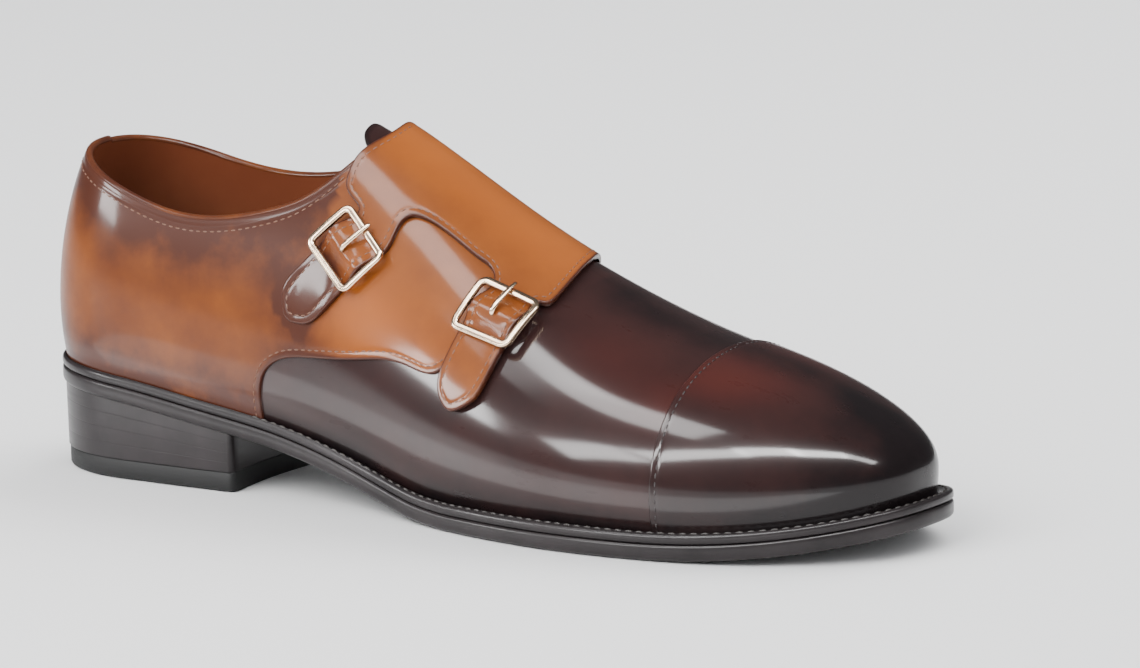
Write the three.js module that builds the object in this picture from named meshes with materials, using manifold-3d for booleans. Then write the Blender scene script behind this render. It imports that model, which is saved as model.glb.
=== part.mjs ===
// Right shoe of a double monk strap pair, for a man's EU 42 foot: welted leather
// sole with a stacked heel, hollow upper on an almond-toed last, tongue, and two
// buckled straps cut in one panel. Millimetres, +Z up, toe along +X, floor at z = 0.
// The outer (little-toe) side is -Y and the inner (arch) side is +Y.
import * as THREE from 'three';
import { mergeVertices } from 'three/addons/utils/BufferGeometryUtils.js';
import Module from 'manifold-3d';

const wasm = await Module();
wasm.setup();

// ---------------------------------------------------------------- driving sizes
const GAP = 0.3; // air left between pieces that meet
const SHOE_LENGTH = 304; // outsole, back of heel to toe
const TOE_SPRING = 8; // underside of the sole at the toe tip
const TREAD = { back: 164, front: 226 }; // flat of the forefoot on the floor
const SOLE_THICK = 5;
const WELT_THICK = 2.8;
const WALL = 2.2; // upper leather with its lining
const INSOLE_THICK = 3.5;
const BREAST_X = 79; // front face of the heel
const TOP_PIECE_THICK = 6; // rubber top piece under the heel stack

// The rounded ends of every outline: where they start, and how far they reach.
const HEEL_END = { x: 38, power: 2.2 };
const TOE_END = { x: 232, power: 2.5 };
const REACH = { heelFeather: 35, heelSide: 36.8, toeFeather: 66.5, toeSide: 67.5 };

// Underside of the sole from the heel seat down the arch to the flat tread.
const SHANK = [
  { x: -5, under: 26 },
  { x: 20, under: 25.3 },
  { x: 45, under: 22.9 },
  { x: 70, under: 19.1 },
  { x: 92, under: 15.6 },
  { x: 114, under: 10.6 },
  { x: 136, under: 4.5 },
  { x: 152, under: 0.9 },
  { x: 164, under: 0 },
];

// How far the sole's edge stands out from the upper, along the shoe.
const EDGE = [
  { x: 0, outer: 2, inner: 2 },
  { x: 60, outer: 2.1, inner: 2.3 },
  { x: 90, outer: 2.3, inner: 3.1 },
  { x: 120, outer: 2.9, inner: 3.7 },
  { x: 170, outer: 4.5, inner: 4.4 },
  { x: 210, outer: 5.2, inner: 5 },
  { x: 260, outer: 5.4, inner: 5.4 },
  { x: 304, outer: 5.4, inner: 5.4 },
];

// The last, section by section. Feather is the plan line where the upper meets the
// sole; side is the widest line, sideUp above it. ridgeY and ridgeZ are the crest:
// behind the instep it is the crest of the last's cone, which the collar cuts off.
// lean takes fullness off the shoulders of a section, from 0 (an oval) upwards.
const LAST = [
  { x: 0, outFeather: 31, inFeather: 31, outSide: 33.5, inSide: 33.5, sideUp: 19, ridgeY: 0, ridgeZ: 122, lean: 0.1 },
  { x: 38, outFeather: 32, inFeather: 31.5, outSide: 34.5, inSide: 34, sideUp: 19, ridgeY: 0, ridgeZ: 124, lean: 0.2 },
  { x: 64, outFeather: 32, inFeather: 30.5, outSide: 35, inSide: 33.8, sideUp: 19, ridgeY: 0.5, ridgeZ: 123.5, lean: 0.28 },
  { x: 90, outFeather: 31.5, inFeather: 27, outSide: 35.5, inSide: 32.5, sideUp: 19, ridgeY: 1.2, ridgeZ: 120, lean: 0.3 },
  { x: 115, outFeather: 32.5, inFeather: 23.5, outSide: 37, inSide: 31.5, sideUp: 18.5, ridgeY: 2, ridgeZ: 111.5, lean: 0.26 },
  { x: 140, outFeather: 36, inFeather: 24.5, outSide: 40.2, inSide: 33.5, sideUp: 17, ridgeY: 3, ridgeZ: 98, lean: 0.2 },
  { x: 165, outFeather: 41.5, inFeather: 31, outSide: 44.9, inSide: 38, sideUp: 15, ridgeY: 3.5, ridgeZ: 83.5, lean: 0.12 },
  { x: 190, outFeather: 45.7, inFeather: 39.8, outSide: 48.2, inSide: 44, sideUp: 13.5, ridgeY: 3.4, ridgeZ: 71, lean: 0.04 },
  { x: 212, outFeather: 46.6, inFeather: 44.2, outSide: 48.8, inSide: 46.8, sideUp: 12.5, ridgeY: 3, ridgeZ: 62, lean: -0.05 },
  { x: 232, outFeather: 45, inFeather: 44.4, outSide: 47, inSide: 46.4, sideUp: 12, ridgeY: 2.6, ridgeZ: 56, lean: -0.1 },
  { x: 262, outFeather: 40.3, inFeather: 40.5, outSide: 41.8, inSide: 42, sideUp: 11, ridgeY: 2.6, ridgeZ: 50.5, lean: -0.15 },
  { x: 299, outFeather: 32, inFeather: 33, outSide: 33, inSide: 34, sideUp: 10, ridgeY: 3.6, ridgeZ: 46, lean: -0.15 },
];

// Height of the collar's edge along the shoe, on each side. It ends above the crest.
const COLLAR = [
  { x: -12, outer: 103, inner: 101 },
  { x: 8, outer: 98.5, inner: 97.5 },
  { x: 24, outer: 93, inner: 93 },
  { x: 42, outer: 86.5, inner: 88.5 },
  { x: 60, outer: 82.5, inner: 86.5 },
  { x: 76, outer: 83, inner: 87.5 },
  { x: 92, outer: 86.5, inner: 91 },
  { x: 106, outer: 93, inner: 97 },
  { x: 117, outer: 104, inner: 106 },
  { x: 128, outer: 124, inner: 124 },
  { x: 134, outer: 145, inner: 145 },
];

// ---------------------------------------------------------------- curves
// Natural cubic spline through one column of a table.
function curve(rows, key) {
  const x = rows.map((row) => row.x);
  const y = rows.map((row) => row[key]);
  const n = x.length;
  const bend = new Array(n).fill(0);
  const carry = new Array(n).fill(0);
  for (let i = 1; i < n - 1; i++) {
    const share = (x[i] - x[i - 1]) / (x[i + 1] - x[i - 1]);
    const pivot = share * bend[i - 1] + 2;
    const turn = (y[i + 1] - y[i]) / (x[i + 1] - x[i]) - (y[i] - y[i - 1]) / (x[i] - x[i - 1]);
    bend[i] = (share - 1) / pivot;
    carry[i] = ((6 * turn) / (x[i + 1] - x[i - 1]) - share * carry[i - 1]) / pivot;
  }
  bend[n - 1] = 0;
  for (let i = n - 2; i >= 0; i--) bend[i] = bend[i] * bend[i + 1] + carry[i];
  return (at) => {
    let i = 0;
    while (i < n - 2 && at > x[i + 1]) i++;
    const span = x[i + 1] - x[i];
    const b = (at - x[i]) / span;
    const a = 1 - b;
    const cubic = (((a ** 3 - a) * bend[i] + (b ** 3 - b) * bend[i + 1]) * span * span) / 6;
    return a * y[i] + b * y[i + 1] + cubic;
  };
}

const curves = (rows) => Object.fromEntries(
  Object.keys(rows[0]).filter((key) => key !== 'x').map((key) => [key, curve(rows, key)]),
);
const last = curves(LAST);
const edge = curves(EDGE);
const collar = curves(COLLAR);

const shank = curves(SHANK);

// Underside and top of the outsole: heel seat, shank, flat tread, toe spring.
function soleUnder(x) {
  if (x < TREAD.back) return Math.max(0, shank.under(x));
  return TOE_SPRING * (Math.max(0, x - TREAD.front) / (SHOE_LENGTH - TREAD.front)) ** 2.2;
}
const soleTop = (x) => soleUnder(x) + SOLE_THICK;

// ---------------------------------------------------------------- the last
// A place round the shoe is one number: 0 at the back of the heel, 1 at the toe along
// the outer side, and on to 2 back along the inner side. Each side has a rounded heel
// end, a side, and a rounded toe end, with this many steps.
const STEPS = { heel: 8, side: 24, toe: 9 };
const HALF = STEPS.heel + STEPS.side + STEPS.toe;
const ROUND = Array.from({ length: 2 * HALF }, (_, i) => i / HALF);

function placeAt(turn) {
  const t = (turn + 2) % 2;
  const side = t <= 1 ? -1 : 1;
  const step = (t <= 1 ? t : 2 - t) * HALF;
  if (step < STEPS.heel) return { side, end: 'heel', angle: (Math.PI / 2) * (1 - step / STEPS.heel) };
  if (step > STEPS.heel + STEPS.side) {
    return { side, end: 'toe', angle: ((Math.PI / 2) * (step - STEPS.heel - STEPS.side)) / STEPS.toe };
  }
  return { side, x: HEEL_END.x + ((TOE_END.x - HEEL_END.x) * (step - STEPS.heel)) / STEPS.side };
}

// A plan point at share rho of the way from the crest out to the line of that kind,
// with the sole's edge width added grow times.
function planPoint(turn, kind, rho = 1, grow = 0) {
  const { side, end, angle, x: straight } = placeAt(turn);
  let x = straight;
  let across = rho;
  if (end) {
    const { x: from, power } = end === 'heel' ? HEEL_END : TOE_END;
    const out = edge.outer(end === 'heel' ? 0 : SHOE_LENGTH) * grow;
    const reach = (REACH[end + kind] + out) * (end === 'heel' ? -1 : 1);
    x = from + reach * rho * Math.sin(angle) ** (2 / power);
    across = rho * Math.max(0, Math.cos(angle)) ** (2 / power);
  }
  const half = last[(side < 0 ? 'out' : 'in') + kind](x) + edge[side < 0 ? 'outer' : 'inner'](x) * grow;
  const crest = last.ridgeY(x);
  return { x, y: crest + side * (half - side * crest) * across };
}

// Point on the last's skin. Level runs from -1 at the feather, through 0 at the
// widest line, to 1 at the crest.
function skinPoint(turn, level) {
  if (level < 0) {
    const side = planPoint(turn, 'Side');
    const feather = planPoint(turn, 'Feather');
    const down = level * level;
    const x = side.x + (feather.x - side.x) * down;
    const y = side.y + (feather.y - side.y) * down;
    return new THREE.Vector3(x, y, soleTop(x) + GAP + last.sideUp(x) * (1 + level));
  }
  const rise = Math.sin((level * Math.PI) / 2);
  const { x, y } = planPoint(turn, 'Side', Math.cos((level * Math.PI) / 2));
  const low = soleTop(x) + GAP + last.sideUp(x);
  const lean = last.lean(x);
  return new THREE.Vector3(x, y, low + (last.ridgeZ(x) - low) * ((1 - lean) * rise + lean * rise * rise));
}

function skinNormal(turn, level) {
  if (level > 0.999) {
    const { x } = skinPoint(turn, 1);
    return new THREE.Vector3(last.ridgeZ(x - 0.5) - last.ridgeZ(x + 0.5), 0, 1).normalize();
  }
  const small = 0.004;
  const along = skinPoint(turn + small, level).sub(skinPoint(turn - small, level));
  const up = skinPoint(turn, Math.min(1, level + small)).sub(skinPoint(turn, Math.max(-1, level - small)));
  return along.cross(up).normalize();
}

const offSkin = (turn, level, offset) => skinPoint(turn, level).addScaledVector(skinNormal(turn, level), offset);

// ---------------------------------------------------------------- solids
const vec = (x, y, z) => new THREE.Vector3(x, y, z);

function meshOf(points, faces) {
  const geometry = new THREE.BufferGeometry();
  geometry.setAttribute('position', new THREE.Float32BufferAttribute(points.flatMap((p) => [p.x, p.y, p.z]), 3));
  geometry.setIndex(faces);
  return geometry;
}

// A solid from a geometry: vertices welded by position, closed-up faces dropped.
function solidOf(geometry) {
  const bare = geometry.clone();
  bare.deleteAttribute('normal');
  bare.deleteAttribute('uv');
  const merged = mergeVertices(bare, 1e-3);
  const index = merged.index.array;
  const kept = [];
  for (let i = 0; i < index.length; i += 3) {
    const [a, b, c] = index.subarray(i, i + 3);
    if (a !== b && b !== c && c !== a) kept.push(a, b, c);
  }
  return new wasm.Manifold(new wasm.Mesh({
    numProp: 3,
    vertProperties: new Float32Array(merged.attributes.position.array),
    triVerts: new Uint32Array(kept),
  }));
}

function geometryOf(solid) {
  const mesh = solid.getMesh();
  const geometry = new THREE.BufferGeometry();
  geometry.setAttribute('position', new THREE.BufferAttribute(new Float32Array(mesh.vertProperties), 3));
  geometry.setIndex(new THREE.BufferAttribute(new Uint32Array(mesh.triVerts), 1));
  geometry.computeVertexNormals();
  return geometry;
}

// Faces between two closed loops of count points, the second one above the first
// (loops run anticlockwise seen from above).
function walls(count, from, to) {
  const faces = [];
  for (let i = 0; i < count; i++) {
    const next = (i + 1) % count;
    faces.push(from + i, from + next, to + i, from + next, to + next, to + i);
  }
  return faces;
}

// A lid across one loop, in strips from each point to the one opposite.
function lid(count, from, up) {
  const faces = [];
  for (let i = 0; i < count / 2; i++) {
    const [a, b, c, d] = [i, i + 1, (count - i) % count, count - i - 1].map((k) => from + k);
    faces.push(...(up ? [a, b, d, a, d, c] : [a, d, b, a, c, d]));
  }
  return faces;
}

// A closed solid through stacked loops, low to high.
function stack(loops) {
  const count = loops[0].length;
  const faces = [];
  for (let k = 0; k + 1 < loops.length; k++) faces.push(...walls(count, k * count, (k + 1) * count));
  faces.push(...lid(count, 0, false), ...lid(count, (loops.length - 1) * count, true));
  return solidOf(meshOf(loops.flat(), faces));
}

// A closed ring through loops that go up its outside and down its inside.
function ring(loops) {
  const count = loops[0].length;
  const faces = [];
  for (let k = 0; k < loops.length; k++) {
    faces.push(...walls(count, k * count, ((k + 1) % loops.length) * count));
  }
  return solidOf(meshOf(loops.flat(), faces));
}

// ---------------------------------------------------------------- upper
// How far up its half-section the collar cuts each place: 1 where it reaches the crest.
function topLevel(turn) {
  const line = collar[placeAt(turn).side < 0 ? 'outer' : 'inner'];
  const over = (level) => {
    const p = skinPoint(turn, level);
    return p.x > COLLAR.at(-1).x ? -1 : p.z - line(p.x);
  };
  if (over(1) <= 0) return 1;
  let low = 0;
  let high = 1;
  for (let i = 0; i < 40; i++) {
    const middle = (low + high) / 2;
    if (over(middle) > 0) high = middle;
    else low = middle;
  }
  return low;
}

const ROWS = { lower: 3, dome: 10 };

// The upper has extra places close to the front of its throat.
const THROAT = [17.5, 18.25, 18.5, 18.75, 19.5].map((step) => step / HALF);
const UPPER_ROUND = [...ROUND, ...THROAT, ...THROAT.map((turn) => 2 - turn)].sort((a, b) => a - b);

function upperShell() {
  const rows = ROWS.lower + ROWS.dome + 1;
  const tops = UPPER_ROUND.map(topLevel);
  const count = UPPER_ROUND.length;
  const skin = (offset) => Array.from({ length: rows }, (_, row) => UPPER_ROUND.map((turn, i) => {
    const level = row <= ROWS.lower
      ? row / ROWS.lower - 1
      : (tops[i] * (row - ROWS.lower)) / ROWS.dome;
    const p = offSkin(turn, level, offset);
    if (row === 0) p.z = soleTop(p.x) + GAP;
    return p;
  })).flat();
  const points = [...skin(0), ...skin(-WALL)];
  const inside = rows * count;
  const faces = [];
  for (let row = 0; row + 1 < rows; row++) {
    faces.push(...walls(count, row * count, (row + 1) * count));
    faces.push(...walls(count, inside + (row + 1) * count, inside + row * count));
  }
  faces.push(...walls(count, inside, 0));
  const rim = walls(count, (rows - 1) * count, inside + (rows - 1) * count);
  for (let i = 0; i < count; i++) {
    const open = tops[i] < 1 || tops[(i + 1) % count] < 1;
    if (open) faces.push(...rim.slice(i * 6, i * 6 + 6));
  }
  return solidOf(meshOf(points, faces));
}

// ---------------------------------------------------------------- bottom pieces
const awayFrom = (centre, p, by) => {
  const out = new THREE.Vector2(p.x - centre.x, p.y - centre.y);
  return out.multiplyScalar((out.length() + by) / out.length()).add(centre);
};

// The loop of an outline: grow 0 is the feather and 1 is the sole's edge.
function outline(grow, out, height) {
  return ROUND.map((turn) => {
    const p = awayFrom(planPoint(turn, 'Feather', 0), planPoint(turn, 'Feather', 1, grow), out);
    return vec(p.x, p.y, height(p.x));
  });
}

// The upper's outside at a height above the sole, stood off by an air gap.
function besideUpper(up, air) {
  return ROUND.map((turn) => {
    const level = up / last.sideUp(planPoint(turn, 'Side').x) - 1;
    const p = awayFrom(planPoint(turn, 'Feather', 0), skinPoint(turn, level), air);
    return vec(p.x, p.y, soleTop(p.x) + GAP + up);
  });
}

const outsole = stack([
  outline(1, -1.2, soleUnder),
  outline(1, 0, (x) => soleUnder(x) + 1.2),
  outline(1, 0, (x) => soleTop(x) - 0.6),
  outline(1, -0.6, soleTop),
]);

const welt = ring([
  outline(1, -0.5, (x) => soleTop(x) + GAP),
  outline(1, -0.1, (x) => soleTop(x) + GAP + WELT_THICK / 2),
  outline(1, -0.5, (x) => soleTop(x) + GAP + WELT_THICK),
  besideUpper(WELT_THICK, GAP),
  besideUpper(0, GAP),
]);

const insole = stack([
  outline(0, -WALL - GAP * 2, (x) => soleTop(x) + GAP),
  outline(0, -WALL - GAP * 2 + 0.3, (x) => soleTop(x) + GAP + INSOLE_THICK),
]);

// The heel's outline is the sole's, cut off at the breast.
function heelLoop(out, height) {
  const half = (side) => {
    const turns = ROUND.slice(0, HALF).map((turn) => (side < 0 ? turn : 2 - turn));
    const points = turns
      .map((turn) => awayFrom(planPoint(turn, 'Feather', 0), planPoint(turn, 'Feather', 1, 1), out))
      .filter((p) => p.x < BREAST_X - 6);
    const y = side < 0 ? -last.outFeather(BREAST_X) - edge.outer(BREAST_X) : last.inFeather(BREAST_X) + edge.inner(BREAST_X);
    return [...points, new THREE.Vector2(BREAST_X, y + side * out)];
  };
  const outer = half(-1);
  const inner = half(1).slice(1).reverse();
  return [...outer, new THREE.Vector2(BREAST_X - 3, 0), ...inner].map((p) => vec(p.x, p.y, height(p.x)));
}

const topPiece = stack([
  heelLoop(-2.2, () => 0),
  heelLoop(-1.7, () => 0.6),
  heelLoop(-1.6, () => TOP_PIECE_THICK),
]);
const heelStack = stack([
  heelLoop(-1.6, () => TOP_PIECE_THICK + GAP),
  heelLoop(-1.0, (x) => soleUnder(x) - GAP - 2),
  heelLoop(-1.0, (x) => soleUnder(x) - GAP),
]);

// ---------------------------------------------------------------- straps and buckles
// Places on the instep are given by x and by down: the share of the way from the crest
// to the widest line, above 0 on the outer side and below 0 on the inner side.
const GIRTH = 90; // crest to widest line, so that a flat pattern keeps its proportions

function lay(x, down, height) {
  const along = (STEPS.heel + (STEPS.side * (x - HEEL_END.x)) / (TOE_END.x - HEEL_END.x)) / HALF;
  return offSkin(down < 0 ? 2 - along : along, 1 - Math.abs(down), height);
}

const STRAP = { width: 16.4, thick: 1.8, tip: 29, lift: 2.4 };
const FRAME = { length: 17.4, width: 22, bar: 2.2, low: GAP * 2.8 + STRAP.thick, high: 4.6, centreLow: 0.4, centreHigh: 1.7 };
const PRONG = { width: 1.8, thick: 1.2, rise: 6.2 };

// The two buckles: their middle, and the way their strap's end points.
const BUCKLES = [
  { name: 'rear', x: 121.3, down: 0.554, tipward: [-0.66, -0.33, -0.66] },
  { name: 'front', x: 174.6, down: 0.47, tipward: [-0.24, -0.64, -0.73] },
];

// A square frame on the skin at each buckle: ahead runs to the strap's end, and
// beside is across the strap, towards the toe.
for (const buckle of BUCKLES) {
  const middle = lay(buckle.x, buckle.down, 0);
  const out = lay(buckle.x, buckle.down, 1).sub(middle);
  const ahead = vec(...buckle.tipward).projectOnPlane(out).normalize();
  Object.assign(buckle, { middle, out, ahead, beside: out.clone().cross(ahead) });
  if (buckle.beside.x < 0) buckle.beside.negate();
}

// The place on the skin straight under a point of a buckle's flat pattern.
function under(buckle, a, b) {
  let { x, down } = buckle;
  const miss = (u, v) => {
    const p = lay(u, v, 0).sub(buckle.middle);
    return [p.dot(buckle.ahead) - a, p.dot(buckle.beside) - b];
  };
  for (let i = 0; i < 8; i++) {
    const [p, q] = miss(x, down);
    const [px, qx] = miss(x + 0.01, down).map((value, k) => (value - [p, q][k]) / 0.01);
    const [pd, qd] = miss(x, down + 1e-4).map((value, k) => (value - [p, q][k]) / 1e-4);
    const det = px * qd - pd * qx;
    x -= (p * qd - q * pd) / det;
    down -= (q * px - p * qx) / det;
  }
  return { x, down };
}

// A flat outline thickened from low to high and laid out by place(x, y, height), where
// low and high are numbers or functions of x and y. The flat piece is cut from a slab
// with square cells, so that it bends smoothly.
function bent(outline, holes, cell, low, high, place) {
  const turned = (points, clockwise) => (
    THREE.ShapeUtils.isClockWise(points) === clockwise ? points : points.toReversed()
  );
  const shape = new THREE.Shape(turned(outline, false));
  shape.holes = holes.map((hole) => new THREE.Path(turned(hole, true)));
  const prism = new THREE.ExtrudeGeometry(shape, { depth: 1, bevelEnabled: false });
  const box = new THREE.Box2().setFromPoints(outline).expandByScalar(1);
  const size = box.getSize(new THREE.Vector2());
  const middle = box.getCenter(new THREE.Vector2());
  const cells = [Math.ceil(size.x / cell), Math.ceil(size.y / cell)];
  const slab = new THREE.BoxGeometry(size.x, size.y, 1, ...cells, 1).translate(middle.x, middle.y, 0.5);
  const flat = geometryOf(solidOf(prism.scale(1, 1, 3).translate(0, 0, -1)).intersect(solidOf(slab)));
  const at = flat.attributes.position;
  for (let i = 0; i < at.count; i++) {
    const [x, y] = [at.getX(i), at.getY(i)];
    const side = at.getZ(i) < 0.5 ? low : high;
    const p = place(x, y, typeof side === 'function' ? side(x, y) : side);
    at.setXYZ(i, p.x, p.y, p.z);
  }
  const solid = solidOf(flat);
  return solid.volume() < 0 ? solidOf(flipped(flat)) : solid;
}

function flipped(geometry) {
  geometry.setIndex([...geometry.index.array].reverse());
  return geometry;
}

const point = (x, y) => new THREE.Vector2(x, y);
const rectangle = (a0, a1, b0, b1) => [point(a0, b0), point(a1, b0), point(a1, b1), point(a0, b1)];

// The panel's free edges between its straps, in order from the crest's rear edge down
// the outer side, round both straps, and back over the crest to the inner side.
const half = STRAP.width / 2;
const strapEnd = (buckle) => {
  const tip = STRAP.tip;
  const pattern = [
    [-9.5, -half], [-4, -half], [2, -half], [9, -half], [tip - 11, -half], [tip - 5, -half * 0.86],
    [tip - 1.5, -half * 0.45], [tip, 0], [tip - 1.5, half * 0.45], [tip - 5, half * 0.86],
    [tip - 11, half], [9, half], [2, half], [-4, half], [-9.5, half],
  ];
  return pattern.map(([a, b]) => under(buckle, a, b));
};
const [rear, front] = BUCKLES;
const PANEL = [
  { x: 120, down: 0 }, { x: 120.4, down: 0.07 }, { x: 119.6, down: 0.14 }, { x: 117.4, down: 0.21 },
  { x: 115.2, down: 0.28 }, { x: 114.6, down: 0.34 }, { x: 116, down: 0.4 },
  ...strapEnd(rear),
  { x: 135.6, down: 0.385 }, { x: 138, down: 0.345 }, { x: 142, down: 0.325 }, { x: 148, down: 0.317 },
  { x: 155, down: 0.319 }, { x: 161, down: 0.323 }, { x: 166.5, down: 0.33 },
  ...strapEnd(front),
  { x: 186.6, down: 0.33 }, { x: 187.8, down: 0.29 }, { x: 187.9, down: 0.24 }, { x: 187.3, down: 0.15 },
  { x: 186, down: 0.06 }, { x: 185, down: 0 }, { x: 183, down: -0.1 }, { x: 180, down: -0.22 },
  { x: 175.5, down: -0.34 }, { x: 170, down: -0.44 },
  { x: 155, down: -0.46 }, { x: 140, down: -0.46 }, { x: 127, down: -0.45 },
  { x: 117.5, down: -0.42 }, { x: 116.5, down: -0.3 }, { x: 117.5, down: -0.18 }, { x: 119, down: -0.08 },
];

// How far the panel is raised at a place: over the middle bar of each buckle.
function raised(x, y) {
  const p = lay(x, y / GIRTH, 0);
  return BUCKLES.reduce((sum, buckle) => {
    const from = p.clone().sub(buckle.middle);
    const a = Math.abs(from.dot(buckle.ahead));
    const b = Math.abs(from.dot(buckle.beside));
    if (a > 6.8 || b > half + 2) return sum;
    return sum + STRAP.lift * Math.cos((Math.PI * a) / 13.6) ** 2;
  }, 0);
}
const pattern = (places) => places.map(({ x, down }) => point(x, down * GIRTH));
const slot = (buckle) => pattern([[-1.7, -1.4], [1.7, -1.4], [1.7, 1.4], [-1.7, 1.4]]
  .map(([a, b]) => under(buckle, a, b)));
const skive = (y) => Math.min(1, Math.max(0, (y + 40) / 16));
const strapPanel = bent(
  pattern(PANEL),
  BUCKLES.map(slot),
  3.7,
  (x, y) => GAP + raised(x, y),
  (x, y) => GAP + 0.9 + (STRAP.thick - 0.9) * skive(y) + raised(x, y),
  (x, y, height) => lay(x, y / GIRTH, height),
);

// A buckle's frame: two end bars over the strap, side bars beside it, and a low bar
// across the middle under it. The prong turns on that bar and rests on the end bar.
function onBuckle(buckle, outline, holes, low, high) {
  return bent(outline, holes, 3.6, low, high, (a, b, height) => {
    const { x, down } = under(buckle, a, b);
    return lay(x, down, height);
  });
}
function buckleFrame(buckle) {
  const [l, w] = [FRAME.length / 2, FRAME.width / 2];
  const chamfer = 1.2;
  const rim = [
    point(-l + chamfer, -w), point(l - chamfer, -w), point(l, -w + chamfer), point(l, w - chamfer),
    point(l - chamfer, w), point(-l + chamfer, w), point(-l, w - chamfer), point(-l, -w + chamfer),
  ];
  const inside = rectangle(-l + FRAME.bar, l - FRAME.bar, -w + FRAME.bar, w - FRAME.bar);
  const frame = onBuckle(buckle, rim, [inside], FRAME.low, FRAME.high);
  const middle = rectangle(-0.9, 0.9, -w + 0.4, w - 0.4);
  const bar = onBuckle(buckle, middle, [], FRAME.centreLow, FRAME.centreHigh);
  const posts = [-1, 1].map((side) => onBuckle(
    buckle,
    rectangle(-0.9, 0.9, Math.min(side * (w - 2), side * (w - 0.4)), Math.max(side * (w - 2), side * (w - 0.4))),
    [],
    FRAME.centreLow,
    FRAME.high - 0.5,
  ));
  return frame.add(bar).add(posts[0]).add(posts[1]);
}
function buckleProng(buckle) {
  const long = rectangle(-9.6, 1.1, -PRONG.width / 2, PRONG.width / 2);
  const top = (a) => (a < -5 ? FRAME.high + GAP : FRAME.high + GAP + 0.25);
  const blade = onBuckle(buckle, long, [], top, (a) => top(a) + PRONG.thick);
  const root = onBuckle(
    buckle,
    rectangle(-0.9, 0.9, -PRONG.width / 2 + 0.1, PRONG.width / 2 - 0.1),
    [],
    FRAME.centreHigh + GAP,
    FRAME.high + 1,
  );
  return blade.add(root);
}

// ---------------------------------------------------------------- tongue
// A tapered sheet under the instep, its end standing out of the throat.
const TONGUE = [
  { x: 112, half: 0.14 },
  { x: 116, half: 0.2 },
  { x: 126, half: 0.26 },
  { x: 150, half: 0.3 },
  { x: 168, half: 0.3 },
];
const TONGUE_THICK = 1.6;
const tongueOutline = [
  point(110.8, 0),
  point(111.1, -0.07 * GIRTH),
  ...TONGUE.map(({ x, half: wide }) => point(x, -wide * GIRTH)),
  ...TONGUE.toReversed().map(({ x, half: wide }) => point(x, wide * GIRTH)),
  point(111.1, 0.07 * GIRTH),
];
const tongueTop = -WALL - GAP * 5;
const tongue = bent(
  tongueOutline, [], 5, tongueTop - TONGUE_THICK, tongueTop,
  (x, y, height) => lay(x, y / GIRTH, height),
);

// ---------------------------------------------------------------- the group
const LEATHER_DARK = new THREE.MeshStandardMaterial({ color: '#3a2422', roughness: 0.3, metalness: 0 });
const LEATHER_TAN = new THREE.MeshStandardMaterial({ color: '#a45a25', roughness: 0.35, metalness: 0 });
const EDGE_BLACK = new THREE.MeshStandardMaterial({ color: '#1c1614', roughness: 0.35, metalness: 0 });
const RUBBER = new THREE.MeshStandardMaterial({ color: '#151515', roughness: 0.7, metalness: 0 });
const METAL = new THREE.MeshStandardMaterial({ color: '#b59a78', roughness: 0.3, metalness: 1 });
const BOARD = new THREE.MeshStandardMaterial({ color: '#b98a5c', roughness: 0.8, metalness: 0 });

const shoe = new THREE.Group();
function add(name, solid, material) {
  const mesh = new THREE.Mesh(geometryOf(solid), material);
  mesh.name = name;
  shoe.add(mesh);
}
add('upper', upperShell(), LEATHER_DARK);
add('outsole', outsole, EDGE_BLACK);
add('welt', welt, EDGE_BLACK);
add('insole', insole, BOARD);
add('heel_top_piece', topPiece, RUBBER);
add('heel_stack', heelStack, EDGE_BLACK);
add('tongue', tongue, LEATHER_DARK);
add('strap_panel', strapPanel, LEATHER_TAN);
for (const buckle of BUCKLES) {
  add(`buckle_frame_${buckle.name}`, buckleFrame(buckle), METAL);
  add(`buckle_prong_${buckle.name}`, buckleProng(buckle), METAL);
}

// The origin is on the floor, at the middle of the shoe's length and width.
const middle = new THREE.Box3().setFromObject(shoe).getCenter(vec(0, 0, 0));
for (const piece of shoe.children) piece.geometry.translate(-middle.x, -middle.y, 0);

export default shoe;
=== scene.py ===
import math
import bmesh
import bpy
import numpy as np
from mathutils import Matrix, Vector
from mathutils.geometry import delaunay_2d_cdt


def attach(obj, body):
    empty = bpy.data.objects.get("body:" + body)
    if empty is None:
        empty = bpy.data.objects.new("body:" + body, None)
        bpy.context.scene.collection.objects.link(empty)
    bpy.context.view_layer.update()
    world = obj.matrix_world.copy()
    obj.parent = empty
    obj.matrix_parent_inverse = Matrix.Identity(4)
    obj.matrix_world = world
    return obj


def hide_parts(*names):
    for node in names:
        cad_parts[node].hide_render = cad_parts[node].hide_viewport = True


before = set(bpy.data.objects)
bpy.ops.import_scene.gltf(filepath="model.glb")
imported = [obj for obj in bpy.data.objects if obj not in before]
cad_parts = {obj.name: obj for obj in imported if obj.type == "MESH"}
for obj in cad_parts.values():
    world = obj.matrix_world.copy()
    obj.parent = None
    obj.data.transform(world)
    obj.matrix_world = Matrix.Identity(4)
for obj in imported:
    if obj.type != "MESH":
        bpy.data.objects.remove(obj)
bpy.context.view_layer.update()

# ------------------------------------------------------------ camera, floor and lights
# The shoe stands on a seamless pale floor, lit from the front left by soft boxes. The
# camera is a long lens a few paces away, a little above the shoe and ahead of its side.
AIM = Vector((0.02735, 0.00099, 0.0525))
CAMERA = {"azimuth": 33.63, "elevation": 11.45, "roll": -1.11, "distance": 2.5, "lens": 267.2}


def direction(azimuth, elevation):
    a, e = math.radians(azimuth), math.radians(elevation)
    return Vector((math.sin(a) * math.cos(e), -math.cos(a) * math.cos(e), math.sin(e)))


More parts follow.
